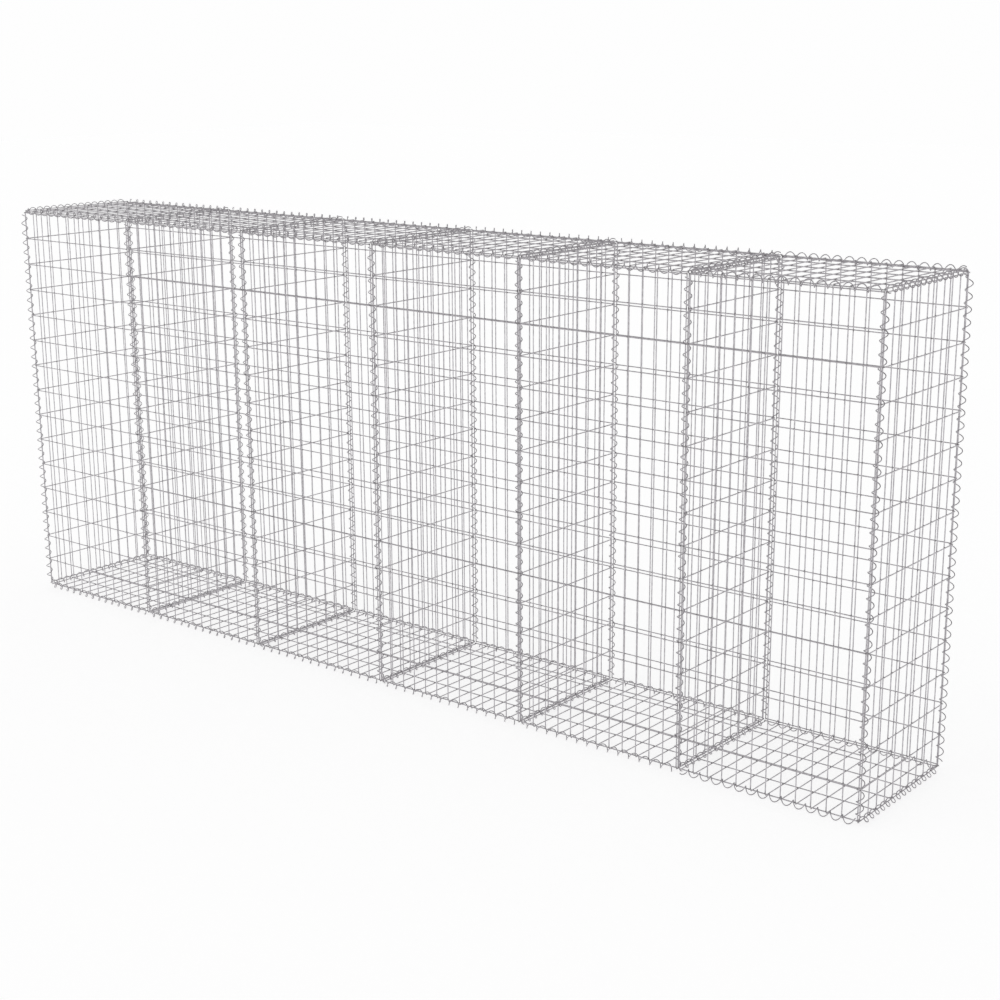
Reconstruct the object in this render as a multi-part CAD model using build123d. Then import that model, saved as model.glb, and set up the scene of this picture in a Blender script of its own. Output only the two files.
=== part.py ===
from build123d import *
from fractions import Fraction
from functools import cache
import math
import os

# A free-standing gabion wall, empty, as it stands before it is filled with stone.
# It is a run of square-cornered baskets of welded wire mesh. Each bay has its own
# front, back, floor and cover panel, a mesh partition stands between each two bays,
# and an end panel closes each end. Coiled wire spirals lace the panels together
# along every edge where they meet.
#
# X runs along the wall, Y from front to back and Z up. The origin is on the ground,
# under the middle of the wall. Lengths are in millimetres and angles in degrees.

# The mesh panels, from the middle of one edge wire to the middle of the other
BAYS = 6
PANEL_LENGTH = 600.0
PANEL_DEPTH = 500.0
PANEL_HEIGHT = 1500.0

# The mesh: oblong cells of round wire, drawn as hexagonal bars of the same section area
SHORT_CELL = 50.0
LONG_CELL = 100.0
MESH_WIRE = 3.5
BAR_SIDES = 6
WELD_SINK = 0.5

# How far each panel's edge wires stand back from the line where it meets the next one
CORNER_GAP = 6.0

# The spirals: coils wound SNUG_GAP clear of the mesh wires that they pass. The wire is
# drawn as a square bar of the same section area, bent at SPIRAL_SIDES corners a turn
SPIRAL_WIRE = 3.0
SPIRAL_RADIUS = 10.75
SPIRAL_SIDES = 6
SPIRAL_END_GAP = 14.5
SNUG_GAP = 0.15

# The turns that each kind of spiral makes to a short cell of the mesh
UPRIGHT_TURNS = Fraction(4, 3)
CROSS_TURNS = Fraction(3, 2)
LONG_TURNS = Fraction(5, 4)

# Every spiral is wound right-handed but those of the floor's long edges, and on the last
# bay the hands of the floor's and the cover's long edges are changed over
RIGHT_HAND = 1
LEFT_HAND = -1

# What follows from those sizes
bay_length = PANEL_LENGTH + 2 * CORNER_GAP
depth = PANEL_DEPTH + 2 * CORNER_GAP
height = PANEL_HEIGHT + 2 * CORNER_GAP
wall_length = BAYS * bay_length
bar_radius = MESH_WIRE * math.sqrt(math.pi / (2 * BAR_SIDES * math.sin(math.tau / BAR_SIDES)))
bar_flat = bar_radius * math.cos(math.pi / BAR_SIDES)
half_side = 180 / BAR_SIDES
layer_gap = MESH_WIRE - WELD_SINK
strand_width = SPIRAL_WIRE * math.sqrt(math.pi) / 2
corner_radius = SPIRAL_RADIUS * math.sqrt(math.tau / SPIRAL_SIDES / math.sin(math.tau / SPIRAL_SIDES))
corner_step = 360 / SPIRAL_SIDES
front = -depth / 2
back = depth / 2
dividers = [bay_length * i - wall_length / 2 for i in range(BAYS + 1)]
bay_middles = [x + bay_length / 2 for x in dividers[:-1]]

# A mesh wire lies half a layer gap off the spiral's axis, so it leaves the spiral this
# far round from the square direction
swing = math.degrees(math.asin(layer_gap / 2 / SPIRAL_RADIUS))


def bar(bar_length):
    """A mesh wire along X with its middle at the origin, two of its edges facing Z."""
    section = RegularPolygon(bar_radius, BAR_SIDES)
    return Rot(0, 90, 0) * extrude(section, bar_length / 2, both=True)


def wire_layers(width, tall, column_cell, row_cell, gap, roll=0):
    """The two layers of a panel in the local XY plane, as lists of its wires.

    The uprights come first, then the crosswise wires, whose middles are gap further to
    +Z. Its size is taken between the middles of its edge wires, and each wire ends flush
    with the edge wire that it meets. Every bar is turned by roll about its own middle.
    """
    columns = round(width / column_cell)
    rows = round(tall / row_cell)
    upright = Pos(0, 0, -gap / 2) * Rot(0, 0, 90) * Rot(roll, 0, 0) * bar(tall + MESH_WIRE)
    crosswise = Pos(0, 0, gap / 2) * Rot(roll, 0, 0) * bar(width + MESH_WIRE)
    return (
        [place * upright for place in GridLocations(width / columns, 1, columns + 1, 1)],
        [place * crosswise for place in GridLocations(1, tall / rows, 1, rows + 1)],
    )


def mesh_panel(width, tall, column_cell, row_cell):
    """A welded panel as one solid, its wires sunk into each other where they cross."""
    uprights, crosswise = wire_layers(width, tall, column_cell, row_cell, layer_gap)
    return uprights[0].fuse(*uprights[1:], *crosswise)


def turns_past(turns, cell):
    """The turns of a spiral from one mesh wire to the next, a cell further on."""
    return turns * cell / SHORT_CELL


def snug_turn(pitch, leaving):
    """The angle of the strand, level with the first wires, that lays it snugly beside them.

    Each entry of leaving is a set of mesh wires, as the angle at which they leave the
    spiral and the number of its turns from one of them to the next. The strand keeps
    SNUG_GAP clear of the nearest wire, or as much of it as the others leave.
    """
    steps = [(angle, 360 / Fraction(turns).limit_denominator(100).denominator) for angle, turns in leaving]
    slope = math.atan(pitch / (math.tau * SPIRAL_RADIUS))
    wanted = 360 * ((MESH_WIRE + SPIRAL_WIRE) / 2 + SNUG_GAP) / math.cos(slope) / pitch

    def nearest(turn):
        return min(abs((turn - angle + step / 2) % step - step / 2) for angle, step in steps)

    return min(range(360), key=lambda turn: abs(nearest(turn) - wanted))


def spiral_pitch(side, turns):
    """The pitch of a coil along a panel's side, which keeps in step with the mesh."""
    return side / round(side / SHORT_CELL) / turns


@cache
def coil(side, turns, hand):
    """A coil about the local Z axis for a panel's side, from a first corner towards +X."""
    rise = spiral_pitch(side, turns) / SPIRAL_SIDES
    room = side + 2 * CORNER_GAP - 2 * SPIRAL_END_GAP
    count = math.floor(room / rise) - 1
    angles = [hand * math.tau * i / SPIRAL_SIDES for i in range(count + 1)]
    path = Polyline(
        [(corner_radius * math.cos(a), corner_radius * math.sin(a), rise * i) for i, a in enumerate(angles)]
    )
    section = Plane(path @ 0, x_dir=(1, 0, 0), z_dir=path % 0) * Rectangle(strand_width, strand_width)
    return sweep(section, path=path, normal=(0, 0, 1), transition=Transition.RIGHT)


def spiral(corner, along, towards, side, turns, leaving, hand=RIGHT_HAND):
    """A coil that laces the panels together along one edge of a bay.

    Angles round it are measured from the direction towards. It has its corners at the
    same angles all along, and starts at the first one that is clear of the edge's end.
    """
    pitch = spiral_pitch(side, turns)
    turn = snug_turn(pitch, leaving) + hand * 360 * (SPIRAL_END_GAP - CORNER_GAP) / pitch
    first = hand * corner_step * math.ceil(hand * turn / corner_step)
    start = SPIRAL_END_GAP + pitch * abs(first - turn) / 360
    frame = Plane(origin=corner, x_dir=towards, z_dir=along).location
    return frame * Pos(0, 0, start) * Rot(0, 0, first) * coil(side, turns, hand)


def upright_spirals(y, z, inward):
    """The coils at the dividers of one face, where its panels meet the partitions."""
    row_turns = turns_past(UPRIGHT_TURNS, LONG_CELL)
    coils = []
    for x in dividers:
        lean = swing if x == dividers[0] else -swing
        leaving = [(inward * (90 + lean), row_turns)]
        if x > dividers[0]:
            leaving.append((inward * (180 + swing), row_turns))
        if x < dividers[-1]:
            leaving.append((inward * -swing, row_turns))
        coils.append(spiral((x, y, z), (0, 0, 1), (1, 0, 0), PANEL_HEIGHT, UPRIGHT_TURNS, leaving))
    return coils


def cross_spirals(z, inward):
    """The coils that run from front to back at the dividers of the floor or the cover."""
    upright_turns = turns_past(CROSS_TURNS, SHORT_CELL)
    flat_turns = turns_past(CROSS_TURNS, LONG_CELL)
    coils = []
    for x in dividers:
        lean = -swing if x == dividers[0] else swing
        leaving = [(inward * (90 + lean), upright_turns)]
        if x > dividers[0]:
            leaving.append((180 - inward * swing, flat_turns))
        if x < dividers[-1]:
            leaving.append((inward * swing, flat_turns))
        coils.append(spiral((x, front, z), (0, 1, 0), (1, 0, 0), PANEL_DEPTH, CROSS_TURNS, leaving))
    return coils


def long_spirals(y, z, rightward, hand):
    """The coils of one long edge, one to a bay, where a face meets the floor or the cover.

    They are of one hand but for the last bay's, and run right from the front of the
    floor and from the back of the cover, so that each meets its panels in the same way.
    """
    cell_turns = turns_past(LONG_TURNS, SHORT_CELL)
    leaving = [(-swing, cell_turns), (90 - swing, cell_turns)]
    towards = (0, 1, 0) if y < 0 else (0, -1, 0)
    along = (1, 0, 0) if rightward else (-1, 0, 0)
    starts = dividers[:-1] if rightward else dividers[1:]
    hands = [hand] * (BAYS - 1) + [-hand]
    return [
        spiral((x, y, z), along, towards, PANEL_LENGTH, LONG_TURNS, leaving, own_hand)
        for x, own_hand in zip(starts, hands)
    ]


def write(node, shape):
    """Writes one node to its own STEP file."""
    export_step(shape, f"parts/{node}.step", write_pcurves=False)


def write_bays(name, panel, y, z, x_dir, z_dir):
    """Writes a copy of one panel for each bay, numbered from the left."""
    for number, x in enumerate(bay_middles, 1):
        write(f"{name}_{number}", Plane(origin=(x, y, z), x_dir=x_dir, z_dir=z_dir).location * panel)


os.makedirs("parts", exist_ok=True)

# The wall rests on the coils under its floor, so their lowest corners set its height
lowest = cross_spirals(0, -1)
lowest += long_spirals(front, 0, True, LEFT_HAND)
lowest += long_spirals(back, 0, False, LEFT_HAND)
base = -Compound(lowest).bounding_box().min.Z
top = base + height
middle = base + height / 2

# The front's wires stay separate solids, turned so that flat meets flat at each weld
uprights, rows = wire_layers(
    PANEL_LENGTH, PANEL_HEIGHT, SHORT_CELL, LONG_CELL, 2 * bar_flat, half_side
)
write_bays("front_uprights", Compound(uprights), front, middle, (1, 0, 0), (0, -1, 0))
write_bays("front_rows", Compound(rows), front, middle, (1, 0, 0), (0, -1, 0))

face = mesh_panel(PANEL_LENGTH, PANEL_HEIGHT, SHORT_CELL, LONG_CELL)
write_bays("back_panel", face, back, middle, (-1, 0, 0), (0, 1, 0))

flat = mesh_panel(PANEL_DEPTH, PANEL_LENGTH, LONG_CELL, SHORT_CELL)
write_bays("floor_panel", flat, 0, base, (0, 1, 0), (0, 0, -1))
write_bays("cover_panel", flat, 0, top, (0, -1, 0), (0, 0, 1))

divider = mesh_panel(PANEL_DEPTH, PANEL_HEIGHT, SHORT_CELL, LONG_CELL)
left_end = Plane(origin=(dividers[0], 0, middle), x_dir=(0, -1, 0), z_dir=(-1, 0, 0))
write("left_end_panel", left_end.location * divider)
for number, x in enumerate(dividers[1:], 1):
    node = f"partition_{number}" if number < BAYS else "right_end_panel"
    write(node, Plane(origin=(x, 0, middle), x_dir=(0, 1, 0), z_dir=(1, 0, 0)).location * divider)

write("upright_spirals_front", Compound(upright_spirals(front, base, 1)))
write("upright_spirals_back", Compound(upright_spirals(back, base, -1)))
write("cross_spirals_floor", Compound(cross_spirals(base, -1)))
write("cross_spirals_cover", Compound(cross_spirals(top, 1)))
write("long_spirals_floor_front", Compound(long_spirals(front, base, True, LEFT_HAND)))
write("long_spirals_floor_back", Compound(long_spirals(back, base, False, LEFT_HAND)))
write("long_spirals_cover_front", Compound(long_spirals(front, top, False, RIGHT_HAND)))
write("long_spirals_cover_back", Compound(long_spirals(back, top, True, RIGHT_HAND)))
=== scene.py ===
# %% [markdown]
# # A gabion wall of welded mesh baskets
# A gabion wall is a row of wire baskets that will be filled with stone. This one is still
# empty: six baskets side by side, each closed on all its sides by a panel of welded mesh,
# and laced to its neighbours with wire spirals.
#
# The CAD model already holds every panel and every spiral in its place, but it draws the
# round wire as plain six-sided and four-sided bars. This lesson makes the same pieces again
# as round zinc-coated wire, with the welds, and each new piece stands for one panel's or
# one edge's CAD nodes.

# %% The frame that every piece is fitted to
import math

import bpy
import numpy as np
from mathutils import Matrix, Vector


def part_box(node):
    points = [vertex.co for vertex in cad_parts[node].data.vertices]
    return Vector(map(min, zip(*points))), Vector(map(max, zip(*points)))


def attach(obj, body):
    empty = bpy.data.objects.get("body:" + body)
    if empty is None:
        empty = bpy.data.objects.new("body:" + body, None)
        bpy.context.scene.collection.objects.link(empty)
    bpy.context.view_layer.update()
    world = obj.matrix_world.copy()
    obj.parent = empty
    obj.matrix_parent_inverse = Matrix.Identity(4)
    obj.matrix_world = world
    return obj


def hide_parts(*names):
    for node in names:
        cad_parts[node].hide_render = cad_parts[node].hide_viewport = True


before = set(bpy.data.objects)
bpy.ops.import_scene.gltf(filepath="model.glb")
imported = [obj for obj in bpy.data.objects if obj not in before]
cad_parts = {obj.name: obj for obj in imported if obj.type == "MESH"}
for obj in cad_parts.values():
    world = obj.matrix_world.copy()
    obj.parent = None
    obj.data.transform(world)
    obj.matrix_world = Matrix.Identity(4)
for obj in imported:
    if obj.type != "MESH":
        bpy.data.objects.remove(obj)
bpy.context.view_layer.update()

# %% [markdown]
# ## The lines where the panels meet
# Two or more panels meet along every edge of a basket, and a spiral runs round each of
# those lines. All of them can be read off the CAD panels, because each panel lies on one
# such plane with its thickness shared out evenly: the middle of its box is on the plane.
# The front is two CAD nodes, one for its uprights and one for its rows, so its plane is
# found from the back's instead, which is equally far from the middle of an end. None of
# them is typed in, so a longer wall or a deeper one comes out right by itself.

# %% Where the panels meet
BAYS = sum(node.startswith("back_panel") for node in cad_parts)


def middle(node):
    """The point half way between the lowest and the highest corner of a CAD node."""
    low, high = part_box(node)
    return np.array((low + high) / 2)


partitions = [f"partition_{n}" for n in range(1, BAYS)]
cross_panels = ["left_end_panel", *partitions, "right_end_panel"]
dividers = np.array([middle(node)[0] for node in cross_panels])
back = middle("back_panel_1")[1]
front = 2 * middle("left_end_panel")[1] - back
top = middle("cover_panel_1")[2]
base = middle("floor_panel_1")[2]
print(f"{BAYS} bays, {dividers[-1] - dividers[0]:.3f} m long,",
      f"{back - front:.3f} m deep, {top - base:.3f} m tall")

# %% [markdown]
# ## Wire sizes
# The mesh is steel wire 3.5 mm thick with a zinc coat, and the spirals are wound from wire
# of 3 mm. Where two mesh wires cross they are pressed together while they are hot, so each
# sinks a little into the other. A panel's edge wires stop a few millimetres short of the
# line where it meets the next one, which leaves the spiral room to go round them all.

# %% Sizes of the wire, in metres
MESH_WIRE = 0.0035
SPIRAL_WIRE = 0.003
WELD_SINK = 0.0005
SHORT_CELL = 0.05
LONG_CELL = 0.1
CORNER_GAP = 0.006
layer_gap = MESH_WIRE - WELD_SINK
print("from one layer of a mesh to the other, mm:", round(1000 * layer_gap, 2))

# %% [markdown]
# ## Drawing a wire
# A wire could be a curve object with a round bevel, which is quick to set up. A surface
# worked out with numpy is used here instead: it can carry its own measurements, such as how
# far along the wire a point is, and the zinc needs those to put its marks in the right
# place. Every wire is a tube, closed at both ends. A tube's faces only say which points are
# neighbours, so they are the same for all wires with as many rings and sides, and are
# worked out once for a whole layer of a panel.

# %% Closed tubes
def tube_faces(rings, sides):
    """The faces of a tube with closed ends: quads between its rings, and a fan of triangles
    round the middle of each end. Point k of ring i has the number i * sides + k, and the
    middles of the two ends follow the last ring."""
    ring, corner = np.divmod(np.arange((rings - 1) * sides), sides)
    after = (corner + 1) % sides
    quads = np.stack([ring * sides + corner, ring * sides + after,
                      (ring + 1) * sides + after, (ring + 1) * sides + corner], axis=-1)
    corner = np.arange(sides)
    after = (corner + 1) % sides
    last = (rings - 1) * sides
    first_middle = np.full(sides, rings * sides)
    fans = np.concatenate([np.stack([first_middle, after, corner], axis=-1),
                           np.stack([first_middle + 1, last + corner, last + after], axis=-1)])
    return quads, fans


def tubes(points, rings, sides, quad_uv, fan_uv, crossing, cell):
    """Tubes of one make as one shape: its points, its faces with their UVs, and the two
    measurements of its points. points is an array (tubes, points of one tube, 3), and the
    rest is given for one tube and repeated for each."""
    quads, fans = tube_faces(rings, sides)
    number, count = points.shape[:2]
    shift = (np.arange(number) * count)[:, None, None]
    return {
        "points": points.reshape(-1, 3),
        "quads": (quads + shift).reshape(-1, 4),
        "quad_uv": np.tile(quad_uv, (number, 1, 1)),
        "fans": (fans + shift).reshape(-1, 3),
        "fan_uv": np.tile(fan_uv, (number, 1, 1)),
        "crossing": np.tile(crossing, number),
        "cell": np.full(number * count, cell),
    }

# %% [markdown]
# ### Rings along a path
# A tube looks like a wire when its points are rings, carried along a path and always square
# to it. The cut ends are nipped a little smaller than the wire, with two rings close
# together so that the light turns the edge there and nowhere else.

# %% Rings carried along a path
BEVEL = 0.0006
CUT_END = 0.62


def stations(length, step):
    """Distances from one end of a wire at which it gets a ring: two at each nipped end, and
    one about every step between them."""
    inner = np.linspace(2 * BEVEL, length - 2 * BEVEL, max(1, round(length / step)) + 1)
    return np.concatenate([[0, BEVEL], inner, [length - BEVEL, length]])


def round_wires(paths, along, reference, wire, sides, crossing=0.5, cell=1.0):
    """Several round wires of one length. paths is an array (wires, rings, 3).

    The ring at a point P of a path is P + r * (cos a * side + sin a * up), where side is
    square to the wire's run and to the reference direction, up is square to both, and r is
    half the wire's thickness, less at a nipped end. along is each ring's distance along the
    wire, crossing the number of mesh cells to it from the first weld, and cell the length
    of one.
    """
    wires, rings = paths.shape[:2]
    run = np.gradient(paths, axis=1)
    side = np.cross(np.broadcast_to(reference, run.shape), run)
    side /= np.linalg.norm(side, axis=2, keepdims=True)
    up = np.cross(run, side)
    up /= np.linalg.norm(up, axis=2, keepdims=True)
    radius = np.full(rings, wire / 2)
    radius[[0, -1]] *= CUT_END
    angle = np.arange(sides) * math.tau / sides
    circle = np.cos(angle)[:, None] * side[:, :, None] + np.sin(angle)[:, None] * up[:, :, None]
    points = (paths[:, :, None] + radius[:, None, None] * circle).reshape(wires, -1, 3)
    points = np.concatenate([points, paths[:, [0, -1]]], axis=1)

    ring, corner = np.divmod(np.arange((rings - 1) * sides), sides)
    before, after = along[ring], along[ring + 1]
    round_way = corner * math.pi * wire / sides
    next_way = round_way + math.pi * wire / sides
    quad_uv = np.stack([np.stack([before, before, after, after], axis=-1),
                        np.stack([round_way, next_way, next_way, round_way], axis=-1)], axis=-1)
    fan_uv = np.zeros((2 * sides, 3, 2))
    fan_uv[:sides, :, 0], fan_uv[sides:, :, 0] = along[0], along[-1]
    cells = np.broadcast_to(crossing, rings)
    cells = np.append(np.repeat(cells, sides), cells[[0, -1]])
    return tubes(points, rings, sides, quad_uv, fan_uv, cells, cell)

# %% [markdown]
# ## Welds
# A spot weld leaves a small flat collar of squeezed metal where two wires cross. There are
# several thousand of them on the wall, so each one has only a few dozen faces: a squashed
# ball, as a function of two angles on a small grid, copied to every crossing at once by
# adding the array of crossings to the array of its points. Its faces are those of a short
# tube, whose end middles are the ball's two poles.

# %% Collars at the crossings
COLLAR_RADIUS = 0.0027
COLLAR_THICKNESS = 0.0022
COLLAR_SIDES = 8
COLLAR_RINGS = 3


def collars(centres, out, across):
    """A squashed ball at each centre: centre + R cos t (cos a * across + sin a * third)
    + h sin t * out, for t from one pole to the other and a once round."""
    third = np.cross(out, across)
    tilt = np.linspace(-math.pi / 2, math.pi / 2, COLLAR_RINGS + 2)[1:-1]
    angle = np.arange(COLLAR_SIDES) * math.tau / COLLAR_SIDES
    ring = np.cos(angle)[:, None] * across + np.sin(angle)[:, None] * third
    body = COLLAR_RADIUS * np.cos(tilt)[:, None, None] * ring
    body = body + (COLLAR_THICKNESS / 2 * np.sin(tilt))[:, None, None] * out
    poles = np.array([-1, 1])[:, None] * out * COLLAR_THICKNESS / 2
    one = np.concatenate([body.reshape(-1, 3), poles])
    quads, fans = tube_faces(COLLAR_RINGS, COLLAR_SIDES)
    return tubes(centres[:, None] + one, COLLAR_RINGS, COLLAR_SIDES,
                 np.zeros((len(quads), 4, 2)), np.zeros((len(fans), 3, 2)),
                 np.zeros(len(one)), 1.0)


print("faces of one collar:", sum(map(len, tube_faces(COLLAR_RINGS, COLLAR_SIDES))))

# %% [markdown]
# ## From arrays to a piece
# Blender stores a mesh as flat lists: all the points, then all the corners of all the
# faces. foreach_set fills such a list from an array in one go, which is what makes hundreds
# of wires quick. The two measurements that the zinc reads go in as attributes of the points,
# and the distances along and round the wire as a UV map, in metres.

# %% Putting a shape into a mesh
def joined(shapes):
    """Several shapes as one: their arrays end to end, with the corner numbers moved on."""
    starts = np.cumsum([0] + [len(shape["points"]) for shape in shapes[:-1]])
    whole = {key: np.concatenate([shape[key] for shape in shapes]) for key in shapes[0]}
    for key in ("quads", "fans"):
        whole[key] = np.concatenate([shape[key] + start for shape, start in zip(shapes, starts)])
    return whole


def add_piece(name, shape, nodes, material):
    """Makes a Blender object of the shape, which stands for some CAD nodes and has one
    material. Gives back how many triangles it has."""
    mesh = bpy.data.meshes.new(name)
    mesh.vertices.add(len(shape["points"]))
    mesh.vertices.foreach_set("co", shape["points"].astype(np.float32).ravel())
    corners = np.concatenate([shape["quads"].ravel(), shape["fans"].ravel()])
    sizes = np.repeat([4, 3], [len(shape["quads"]), len(shape["fans"])])
    mesh.loops.add(len(corners))
    mesh.loops.foreach_set("vertex_index", corners.astype(np.int32))
    mesh.polygons.add(len(sizes))
    starts = np.append(0, np.cumsum(sizes)[:-1])
    mesh.polygons.foreach_set("loop_start", starts.astype(np.int32))
    mesh.update(calc_edges=True)
    mesh.shade_smooth()
    uv = np.concatenate([shape["quad_uv"].reshape(-1, 2), shape["fan_uv"].reshape(-1, 2)])
    mesh.uv_layers.new(name="wire").data.foreach_set("uv", uv.astype(np.float32).ravel())
    for key in ("crossing", "cell"):
        measure = mesh.attributes.new(key, "FLOAT", "POINT")
        measure.data.foreach_set("value", shape[key].astype(np.float32))
    mesh.materials.append(material)
    piece = bpy.data.objects.new(name, mesh)
    bpy.context.scene.collection.objects.link(piece)
    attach(piece, "root")
    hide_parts(*nodes)
    return len(shape["quads"]) * 2 + len(shape["fans"])

# %% [markdown]
# ## Shader groups
# Both kinds of wire have the cloudy look of zinc and the fine lines that a drawing die
# leaves along a wire, and the mesh wire has a dull scorched patch round each weld as well.
# Each effect is a node group with named inputs, built once and placed wherever it is
# wanted. A group only gives back numbers. The shader itself stays in each material, where
# its plain settings are easy to find.

# %% Small helpers for node trees
def new_group(name, inputs, outputs):
    """A shader group with its sockets: inputs as {name: (type, default)}, outputs as names."""
    group = bpy.data.node_groups.new(name, "ShaderNodeTree")
    for socket, (kind, default) in inputs.items():
        made = group.interface.new_socket(name=socket, in_out="INPUT", socket_type=kind)
        if default is not None:
            made.default_value = default
    for socket in outputs:
        group.interface.new_socket(name=socket, in_out="OUTPUT", socket_type="NodeSocketFloat")
    return group, group.nodes.new("NodeGroupInput"), group.nodes.new("NodeGroupOutput")


def feed(tree, value, socket):
    """Sets a socket to a number or colour, or links another node's output to it."""
    if isinstance(value, bpy.types.NodeSocket):
        tree.links.new(value, socket)
    else:
        socket.default_value = value


def math_node(tree, operation, *values, clamp=False):
    """The output of a Math node fed with numbers or other outputs."""
    node = tree.nodes.new("ShaderNodeMath")
    node.operation = operation
    node.use_clamp = clamp
    for value, socket in zip(values, node.inputs):
        feed(tree, value, socket)
    return node.outputs[0]


def fade(tree, value, start, end, low=0.0, high=1.0):
    """The value carried smoothly from low, at start, to high, at end."""
    node = tree.nodes.new("ShaderNodeMapRange")
    node.interpolation_type = "SMOOTHSTEP"
    for socket, given in zip(("Value", "From Min", "From Max", "To Min", "To Max"),
                             (value, start, end, low, high)):
        feed(tree, given, node.inputs[socket])
    return node.outputs["Result"]

# %% [markdown]
# ### Cloudy zinc
# Molten zinc freezes into flat crystals. On thin wire they are too small to show as
# spangles, and what is left is a cloudy change between brighter and duller grey, some
# millimetres long, with a finer speckle over it. Two noises of different sizes give that.
# They read Object coordinates, so the pattern runs on from one wire to the next.

# %% The group for cloudy zinc
SPECKLE_FINER = 9.0
CLOUD_SHARE = 0.7
CLOUD_DETAIL = 3
# the stretch of each noise's values that is spread out from 0 to 1
CLOUD_STRETCH = (0.36, 0.64)
SPECKLE_STRETCH = (0.4, 0.66)


def cloudy_zinc():
    """Dull is 1 where the zinc is duller, from noise of the cloud's size and a speckle."""
    group, start, end = new_group(
        "cloudy zinc",
        {"Position": ("NodeSocketVector", None), "Cloud size": ("NodeSocketFloat", 0.012),
         "Speckle": ("NodeSocketFloat", 0.35)},
        ["Dull"])
    scale = math_node(group, "DIVIDE", 1.0, start.outputs["Cloud size"])
    cloud = group.nodes.new("ShaderNodeTexNoise")
    cloud.inputs["Detail"].default_value = CLOUD_DETAIL
    feed(group, start.outputs["Position"], cloud.inputs["Vector"])
    feed(group, scale, cloud.inputs["Scale"])
    speckle = group.nodes.new("ShaderNodeTexNoise")
    feed(group, start.outputs["Position"], speckle.inputs["Vector"])
    feed(group, math_node(group, "MULTIPLY", scale, SPECKLE_FINER), speckle.inputs["Scale"])
    clouds = fade(group, cloud.outputs["Fac"], *CLOUD_STRETCH)
    clouds = math_node(group, "MULTIPLY", clouds, CLOUD_SHARE)
    specks = fade(group, speckle.outputs["Fac"], *SPECKLE_STRETCH)
    specks = math_node(group, "MULTIPLY", specks, start.outputs["Speckle"])
    feed(group, math_node(group, "ADD", clouds, specks, clamp=True), end.inputs["Dull"])
    return group


zinc_group = cloudy_zinc()
print("group:", zinc_group.name)

# %% [markdown]
# ### Lines from the drawing die
# Wire is pulled through a hard die, and every flaw in the die leaves a line along the wire.
# The UV map has the distance along the wire in U and round it in V, so a noise that is
# stretched far along U and squeezed along V draws such lines.

# %% The group for die lines
LINE_STRETCH = (0.35, 0.65)


def die_lines():
    """Line is a noise of U, counted in line lengths, and V, counted in line widths."""
    group, start, end = new_group(
        "die lines",
        {"Along and round": ("NodeSocketVector", None), "Line length": ("NodeSocketFloat", 0.03),
         "Line width": ("NodeSocketFloat", 0.0004)},
        ["Line"])
    parts = group.nodes.new("ShaderNodeSeparateXYZ")
    feed(group, start.outputs["Along and round"], parts.inputs["Vector"])
    place = group.nodes.new("ShaderNodeCombineXYZ")
    for axis, size in (("X", "Line length"), ("Y", "Line width")):
        counted = math_node(group, "DIVIDE", parts.outputs[axis], start.outputs[size])
        feed(group, counted, place.inputs[axis])
    noise = group.nodes.new("ShaderNodeTexNoise")
    noise.inputs["Scale"].default_value = 1
    feed(group, place.outputs["Vector"], noise.inputs["Vector"])
    feed(group, fade(group, noise.outputs["Fac"], *LINE_STRETCH), end.inputs["Line"])
    return group


line_group = die_lines()
print("group:", line_group.name)

# %% [markdown]
# ### Scorch round a weld
# The heat of a spot weld burns the zinc off a patch a few millimetres long. Each wire
# carries the number of cells from its first weld, so the welds are at the whole numbers,
# and the distance to the nearest one is easy to find: the part of that number past the
# nearest whole, times the length of a cell.

# %% The group for scorched welds
FULL_SCORCH = 0.35
REACH_OVER_CLOUDS = (0.7, 1.3)


def weld_scorch():
    """Scorch is 1 by a weld and falls to 0 at Reach, over |cells - nearest whole| * cell.
    The reach is longer where the zinc is duller, so that no two marks are alike."""
    group, start, end = new_group(
        "weld scorch",
        {"Cells": ("NodeSocketFloat", 0.5), "Cell": ("NodeSocketFloat", 1.0),
         "Reach": ("NodeSocketFloat", 0.005), "Dull": ("NodeSocketFloat", 0.5)},
        ["Scorch"])
    nearest = math_node(group, "ROUND", start.outputs["Cells"])
    past = math_node(group, "SUBTRACT", start.outputs["Cells"], nearest)
    past = math_node(group, "ABSOLUTE", past)
    away = math_node(group, "MULTIPLY", past, start.outputs["Cell"])
    uneven = fade(group, start.outputs["Dull"], 0.0, 1.0, *REACH_OVER_CLOUDS)
    reach = math_node(group, "MULTIPLY", start.outputs["Reach"], uneven)
    inner = math_node(group, "MULTIPLY", reach, FULL_SCORCH)
    feed(group, fade(group, away, inner, reach, 1.0, 0.0), end.inputs["Scorch"])
    return group


scorch_group = weld_scorch()
print("group:", scorch_group.name)

# %% [markdown]
# ## Zinc-coated wire
# Zinc is a metal, so the Principled shader's Metallic is 1 and its Base Color is the colour
# of the reflection. New zinc is a light neutral grey with a soft gloss; a duller cloud is
# both darker and rougher. The mesh wire adds the scorched welds. The spirals are wound from
# wire drawn a little finer, so they have sharper lines and no welds.

# %% Colours mixed and groups placed
def mixed_colour(tree, factor, first, second):
    """The output of a node that blends two colours."""
    node = tree.nodes.new("ShaderNodeMix")
    node.data_type = "RGBA"
    feed(tree, factor, node.inputs["Factor"])
    feed(tree, first, node.inputs["A"])
    feed(tree, second, node.inputs["B"])
    return node.outputs["Result"]


def placed(tree, group, **values):
    """A node that shows a group, with its inputs fed by name: spaces are written as _."""
    node = tree.nodes.new("ShaderNodeGroup")
    node.node_tree = group
    for name, value in values.items():
        feed(tree, value, node.inputs[name.replace("_", " ")])
    return node.outputs


def measured(tree, key):
    """The output of a node that reads one of the points' measurements."""
    node = tree.nodes.new("ShaderNodeAttribute")
    node.attribute_name = key
    return node.outputs["Fac"]

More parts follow.
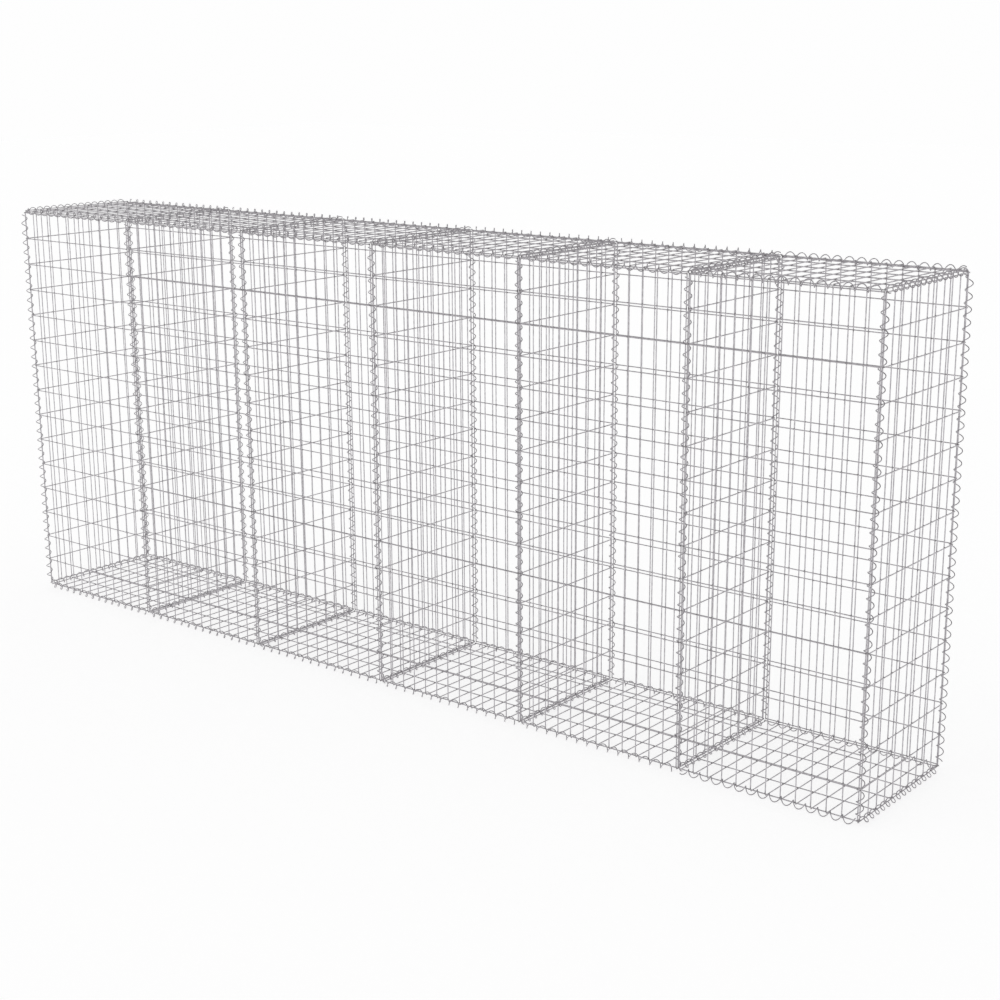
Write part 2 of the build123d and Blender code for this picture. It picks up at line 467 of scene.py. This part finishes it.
# %% The two wire materials
SCORCHED = (0.34, 0.325, 0.33, 1)
SCORCH_COLOUR_SHARE = 0.5
SCORCH_ROUGHER = 0.22
ROUGHNESS_OVER_CLOUDS = (0.34, 0.5)
CLOUD_HEIGHT = 0.6


def zinc_wire(name, bright, dull, cloud_size, line_width, line_depth, scorch):
    """A material for zinc-coated wire. Lengths are in metres, and scorch is how far a weld's
    mark reaches, or None."""
    material = bpy.data.materials.new(name)
    material.use_nodes = True
    tree = material.node_tree
    shader = tree.nodes["Principled BSDF"]
    shader.inputs["Metallic"].default_value = 1.0
    place = tree.nodes.new("ShaderNodeTexCoord").outputs["Object"]
    uv = tree.nodes.new("ShaderNodeUVMap")
    uv.uv_map = "wire"
    cloud = placed(tree, zinc_group, Position=place, Cloud_size=cloud_size)["Dull"]
    line = placed(tree, line_group, Along_and_round=uv.outputs["UV"],
                  Line_width=line_width)["Line"]
    colour = mixed_colour(tree, cloud, bright, dull)
    rough = fade(tree, cloud, 0.0, 1.0, *ROUGHNESS_OVER_CLOUDS)
    if scorch:
        mark = placed(tree, scorch_group, Cells=measured(tree, "crossing"),
                      Cell=measured(tree, "cell"), Reach=scorch, Dull=cloud)["Scorch"]
        share = math_node(tree, "MULTIPLY", mark, SCORCH_COLOUR_SHARE)
        colour = mixed_colour(tree, share, colour, SCORCHED)
        rougher = math_node(tree, "MULTIPLY", mark, SCORCH_ROUGHER)
        rough = math_node(tree, "ADD", rough, rougher)
    bump = tree.nodes.new("ShaderNodeBump")
    bump.inputs["Distance"].default_value = line_depth
    height = math_node(tree, "ADD", line, math_node(tree, "MULTIPLY", cloud, CLOUD_HEIGHT))
    feed(tree, height, bump.inputs["Height"])
    feed(tree, colour, shader.inputs["Base Color"])
    feed(tree, rough, shader.inputs["Roughness"])
    feed(tree, bump.outputs["Normal"], shader.inputs["Normal"])
    return material


mesh_zinc = zinc_wire(
    "zinc coated mesh wire", bright=(0.59, 0.57, 0.595, 1), dull=(0.44, 0.425, 0.445, 1),
    cloud_size=0.012, line_width=0.0005, line_depth=0.00012, scorch=0.004)
spiral_zinc = zinc_wire(
    "zinc coated spiral wire", bright=(0.51, 0.49, 0.515, 1), dull=(0.38, 0.365, 0.385, 1),
    cloud_size=0.009, line_width=0.0004, line_depth=0.00015, scorch=None)
print("materials:", mesh_zinc.name, "and", spiral_zinc.name)

# %% [markdown]
# ## Welded mesh panels
# A panel is two layers of straight wire. The uprights lie on the inner side of the wall,
# and the crosswise wires are welded on from outside. On the floor and the cover, the wires
# along the wall take the place of the uprights. The cells are twice as long one way as the
# other. Each wire could be an object of its own with an array modifier, but then every
# crossing would have to be found again for its weld. Here a panel is two families of
# parallel wires worked out from the box round its CAD nodes, and the crossings are the grid
# of the two sets of distances.

# %% One welded panel
MESH_SIDES = 10


def welded_panel(nodes, out, tall, column_cell, row_cell):
    """The wires and welds of one panel, fitted to its CAD nodes.

    Upright i is the line centre + x_i * wide + s * tall on the inner layer, crosswise wire
    j is centre + y_j * tall + s * wide on the outer one, and their weld is midway between.
    """
    corners = np.array([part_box(node) for node in nodes])
    low, high = corners[:, 0].min(axis=0), corners[:, 1].max(axis=0)
    out, tall = np.array(out, float), np.array(tall, float)
    wide = np.abs(np.cross(out, tall))
    centre = (low + high) / 2
    width, height = (high - low) @ wide, (high - low) @ tall
    columns = round((width - MESH_WIRE) / column_cell)
    rows = round((height - MESH_WIRE) / row_cell)
    x = np.linspace(-1, 1, columns + 1) * (width - MESH_WIRE) / 2
    y = np.linspace(-1, 1, rows + 1) * (height - MESH_WIRE) / 2

    def family(places, across, run, length, cells, layer):
        """Parallel wires of one length, at some places across the panel, in one layer."""
        along = stations(length, length)
        starts = centre + places[:, None] * across - run * length / 2 + out * layer
        paths = starts[:, None] + along[:, None] * run
        crossing = (along - MESH_WIRE / 2) / (length - MESH_WIRE) * cells
        cell = (length - MESH_WIRE) / cells
        return round_wires(paths, along, out, MESH_WIRE, MESH_SIDES, crossing, cell)

    uprights = family(x, wide, tall, height, rows, -layer_gap / 2)
    crosswise = family(y, tall, wide, width, columns, layer_gap / 2)
    grid = centre + x[:, None, None] * wide + y[:, None] * tall
    return joined([uprights, crosswise, collars(grid.reshape(-1, 3), out, wide)])

# %% Every welded panel: its CAD nodes, the way it faces, and its tall way and cells
UPRIGHT_MESH = ((0, 0, 1), SHORT_CELL, LONG_CELL)
LEVEL_MESH = ((1, 0, 0), LONG_CELL, SHORT_CELL)
panels = {}
for n in range(1, BAYS + 1):
    front_nodes = [f"front_uprights_{n}", f"front_rows_{n}"]
    panels[f"front_panel_{n}"] = (front_nodes, (0, -1, 0), *UPRIGHT_MESH)
    panels[f"back_panel_{n}"] = ([f"back_panel_{n}"], (0, 1, 0), *UPRIGHT_MESH)
    panels[f"floor_panel_{n}"] = ([f"floor_panel_{n}"], (0, 0, -1), *LEVEL_MESH)
    panels[f"cover_panel_{n}"] = ([f"cover_panel_{n}"], (0, 0, 1), *LEVEL_MESH)
for node in cross_panels:
    out = (-1, 0, 0) if node == "left_end_panel" else (1, 0, 0)
    panels[node] = ([node], out, *UPRIGHT_MESH)

triangles = 0
for name, (nodes, *layout) in panels.items():
    panel = welded_panel(nodes, *layout)
    triangles += add_piece(f"wire.{name}", panel, nodes, mesh_zinc)
print(f"{len(panels)} panels, {triangles} triangles")

# %% [markdown]
# ## Spirals
# A spiral is a helix: it goes round the line where the panels meet while it moves along it.
# It makes a fixed number of turns to a cell of the mesh, so it keeps in step with the wires
# it has to catch, and it must lie snugly beside them without running through any. Each set
# of wires leaves the spiral at one angle. Level with the first wires, every whole number of
# degrees is tried, and the one is kept that brings the strand to the wanted distance from
# the nearest wire.

# %% Laying a spiral beside the wires
SPIRAL_RADIUS = 0.01075
SPIRAL_END_GAP = 0.0145
SNUG_GAP = 0.00015
UPRIGHT_TURNS = 4 / 3
CROSS_TURNS = 3 / 2
LONG_TURNS = 5 / 4
swing = math.asin(layer_gap / 2 / SPIRAL_RADIUS)


def spiral_pitch(side, turns):
    """The pitch of a spiral that makes this many turns to each short cell of a side."""
    return side / round(side / SHORT_CELL) / turns


def snug_turn(pitch, leaving):
    """The angle, level with the first wires, at which a spiral lies beside them.

    leaving has, for each set of wires, the angle at which they leave and the part of a turn
    after which the spiral passes them again.
    """
    wanted = (MESH_WIRE + SPIRAL_WIRE) / 2 + SNUG_GAP
    wanted *= math.tau / pitch / math.cos(math.atan(pitch / (math.tau * SPIRAL_RADIUS)))
    turns = np.radians(np.arange(360))[:, None]
    angles, parts = np.array(leaving).T
    away = (turns - angles + math.pi * parts) % (math.tau * parts) - math.pi * parts
    return turns[np.abs(np.abs(away).min(axis=1) - wanted).argmin(), 0]


print("widest pitch, mm:", round(1000 * SHORT_CELL / LONG_TURNS, 1))

# %% [markdown]
# The helix itself is a function of the distance along the edge, worked out for all the
# spirals of one node together. Each may start at its own turn and wind to either hand.

# %% The spirals of one node
SPIRAL_SEGMENTS = 16
SPIRAL_SIDES = 8


def spirals(corners, along, towards, side, pitch, turns, hands):
    """Helices of one length. At distance s from its corner, a spiral is at
    corner + s * along + R * (cos a * towards + sin a * third), where a is the turn it
    starts from and hand * (s - gap) / pitch whole turns more."""
    along, towards = np.array(along, float), np.array(towards, float)
    third = np.cross(along, towards)
    length = side + 2 * CORNER_GAP - 2 * SPIRAL_END_GAP
    s = stations(length, pitch / SPIRAL_SEGMENTS) + SPIRAL_END_GAP
    a = turns[:, None] + hands[:, None] * math.tau * (s - CORNER_GAP) / pitch
    round_it = np.cos(a)[..., None] * towards + np.sin(a)[..., None] * third
    paths = corners[:, None] + s[:, None] * along + SPIRAL_RADIUS * round_it
    stretch = math.hypot(1, math.tau * SPIRAL_RADIUS / pitch)
    return round_wires(paths, (s - SPIRAL_END_GAP) * stretch, along, SPIRAL_WIRE, SPIRAL_SIDES)


def add_spirals(name, shape):
    """The piece for one node of spirals. Gives back how many triangles it has."""
    return add_piece(f"wire.{name}", shape, [name], spiral_zinc)

# %% [markdown]
# An upright spiral stands at each divider on the front of the wall, and another on its
# back. Those at the two ends meet a face panel on one side only, so they have fewer wires
# to miss than those between two bays. The same goes for the spirals that cross the floor
# and the cover.

# %% Upright and crossing spirals
panel_length = dividers[1] - dividers[0] - 2 * CORNER_GAP
panel_depth = back - front - 2 * CORNER_GAP
panel_height = top - base - 2 * CORNER_GAP
RIGHT_HANDED = np.ones(BAYS + 1)

# the part of a turn after which a spiral passes the wires of a set again
UPRIGHT_PAST_ROWS = 1 / 3
CROSS_PAST_UPRIGHTS = 1 / 2
CROSS_PAST_LONG_WIRES = 1
LONG_PAST_UPRIGHTS = 1 / 4


def at_dividers(y, z):
    """One point at every divider."""
    return np.stack([dividers, np.full(BAYS + 1, y), np.full(BAYS + 1, z)], axis=1)


def turned(pitch, inward, lean, cross_part, flat_swing, flat_part):
    """The turns of one spiral per divider, for the panels that meet there.

    The cross panel leaves it a quarter of a turn inward, less lean, which changes sides at
    the first divider. The panels to its left and right leave flat_swing off the line.
    """
    turns = []
    for number in range(BAYS + 1):
        own_lean = -lean if number == 0 else lean
        leaving = [(inward * (math.pi / 2 - own_lean), cross_part)]
        if number > 0:
            leaving.append((math.pi - flat_swing, flat_part))
        if number < BAYS:
            leaving.append((flat_swing, flat_part))
        turns.append(snug_turn(pitch, leaving))
    return np.array(turns)


triangles = 0
pitch = spiral_pitch(panel_height, UPRIGHT_TURNS)
for side, y, inward in (("front", front, 1), ("back", back, -1)):
    turns = turned(pitch, inward, swing, UPRIGHT_PAST_ROWS, -inward * swing, UPRIGHT_PAST_ROWS)
    shape = spirals(at_dividers(y, base), (0, 0, 1), (1, 0, 0), panel_height, pitch, turns,
                    RIGHT_HANDED)
    triangles += add_spirals(f"upright_spirals_{side}", shape)
pitch = spiral_pitch(panel_depth, CROSS_TURNS)
for side, z, inward in (("floor", base, -1), ("cover", top, 1)):
    turns = turned(pitch, inward, -swing, CROSS_PAST_UPRIGHTS, inward * swing,
                   CROSS_PAST_LONG_WIRES)
    shape = spirals(at_dividers(front, z), (0, 1, 0), (1, 0, 0), panel_depth, pitch, turns,
                    RIGHT_HANDED)
    triangles += add_spirals(f"cross_spirals_{side}", shape)
print("triangles in the upright and crossing spirals:", triangles)

# %% [markdown]
# The long edges are laced bay by bay, one spiral for each. The floor's are wound to the
# left and the cover's to the right, except on the last bay, where the hands are changed
# over: seen from the front, its spirals show wide arcs where the others show small ticks.

# %% Spirals of the long edges
# for each edge, its place, the way the spirals run and the hand of the first bays
LONG_EDGES = (("floor_front", front, base, 1, -1), ("floor_back", back, base, -1, -1),
              ("cover_front", front, top, -1, 1), ("cover_back", back, top, 1, 1))
last_changed = np.append(np.ones(BAYS - 1), -1)
pitch = spiral_pitch(panel_length, LONG_TURNS)
turn = snug_turn(pitch, [(-swing, LONG_PAST_UPRIGHTS), (math.pi / 2 - swing, LONG_PAST_UPRIGHTS)])
triangles = 0
for edge, y, z, along, hand in LONG_EDGES:
    starts = dividers[:-1] if along > 0 else dividers[1:]
    corners = np.stack([starts, np.full(BAYS, y), np.full(BAYS, z)], axis=1)
    towards = (0, 1, 0) if y < 0 else (0, -1, 0)
    shape = spirals(corners, (along, 0, 0), towards, panel_length, pitch, np.full(BAYS, turn),
                    hand * last_changed)
    triangles += add_spirals(f"long_spirals_{edge}", shape)
print("triangles in the spirals of the long edges:", triangles)

# %% [markdown]
# ## Floor and light
# The wall stands on a plain white floor in a bright room. Bare wire only shows what it
# reflects. An upright wire reflects the walls and the floor all round, and a level one the
# ceiling as well, so a room that is brightest at eye height and has a darker ceiling makes
# the level wires the darker ones. The camera sees plain white behind the wall. The floor is
# lit like everything else and keeps the wall's soft shadow. A little light of its own
# brings it up to white, for the camera and for what shines in a wire, but it lights nothing
# else.

# %% The floor
FLOOR_SIZE = 60.0
FLOOR_COLOUR = (0.5, 0.5, 0.5, 1)
FLOOR_ROUGHNESS = 0.9
FLOOR_GLOW = 0.705
WHITE = (1, 1, 1, 1)


def camera_and_shine(tree):
    """Two outputs: one is 1 for what the camera sees straight away, and the other is 1 for
    what shines in a wire."""
    path = tree.nodes.new("ShaderNodeLightPath")
    return path.outputs["Is Camera Ray"], path.outputs["Is Glossy Ray"]


bpy.ops.mesh.primitive_plane_add(size=FLOOR_SIZE)
floor = bpy.context.object
floor.name = "studio_floor"
white_floor = bpy.data.materials.new("white floor")
white_floor.use_nodes = True
tree = white_floor.node_tree
paint = tree.nodes["Principled BSDF"]
paint.inputs["Base Color"].default_value = FLOOR_COLOUR
paint.inputs["Roughness"].default_value = FLOOR_ROUGHNESS
paint.inputs["Specular IOR Level"].default_value = 0.0
paint.inputs["Emission Color"].default_value = WHITE
either = math_node(tree, "MAXIMUM", *camera_and_shine(tree))
feed(tree, math_node(tree, "MULTIPLY", either, FLOOR_GLOW), paint.inputs["Emission Strength"])
floor.data.materials.append(white_floor)
print("floor:", FLOOR_SIZE, "m square")

# %% The room and the sun
EYE_LEVEL = 1.3
OVERHEAD = 0.35
# how far up the room its light begins to fall and stops falling: 0 is level, 1 straight up
FALLS_FROM, FALLS_TO = 0.1, 0.7
BACKDROP = 0.99
SUN_STRENGTH = 0.2
SUN_SIZE = math.radians(40)
SUN_TURN = (math.radians(30), 0, math.radians(-30))

room = bpy.data.worlds.new("bright room")
bpy.context.scene.world = room
room.use_nodes = True
tree = room.node_tree
parts = tree.nodes.new("ShaderNodeSeparateXYZ")
feed(tree, tree.nodes.new("ShaderNodeTexCoord").outputs["Generated"], parts.inputs["Vector"])
room_light = fade(tree, parts.outputs["Z"], FALLS_FROM, FALLS_TO, EYE_LEVEL, OVERHEAD)
backdrop = tree.nodes["Background"]
backdrop.inputs["Color"].default_value = WHITE
straight = camera_and_shine(tree)[0]
feed(tree, fade(tree, straight, 0.0, 1.0, room_light, BACKDROP), backdrop.inputs["Strength"])

sun = bpy.data.objects.new("sun", bpy.data.lights.new("sun", "SUN"))
sun.data.energy = SUN_STRENGTH
sun.data.angle = SUN_SIZE
sun.rotation_euler = SUN_TURN
bpy.context.scene.collection.objects.link(sun)
print("lights:", [light.name for light in bpy.data.lights])

# %% [markdown]
# ## Camera
# The wall is seen from beyond its right-hand end and from a little above it, so that the
# rows of mesh close up towards the left. A direction is easier to read than three angles,
# so the camera is placed by the point it stands at and the way it looks, and then rolled a
# little.

# %% The camera
CAMERA_AT = (3.936, -4.455, 2.163)
CAMERA_LOOKS = (-0.6088, 0.7517, -0.2534)
CAMERA_ROLL = math.radians(-0.26)
CAMERA_LENS = 63.4
SENSOR_WIDTH = 36
SEES_TO = 200

camera = bpy.data.objects.new("camera", bpy.data.cameras.new("camera"))
camera.data.lens = CAMERA_LENS
camera.data.sensor_width = SENSOR_WIDTH
camera.location = CAMERA_AT
look = Vector(CAMERA_LOOKS).to_track_quat("-Z", "Y")
camera.rotation_mode = "QUATERNION"
camera.rotation_quaternion = look @ Matrix.Rotation(CAMERA_ROLL, 3, "Z").to_quaternion()
camera.data.clip_end = SEES_TO
bpy.context.scene.collection.objects.link(camera)
bpy.context.scene.camera = camera

bpy.context.scene.view_settings.view_transform = "Standard"
print("camera lens, mm:", camera.data.lens)
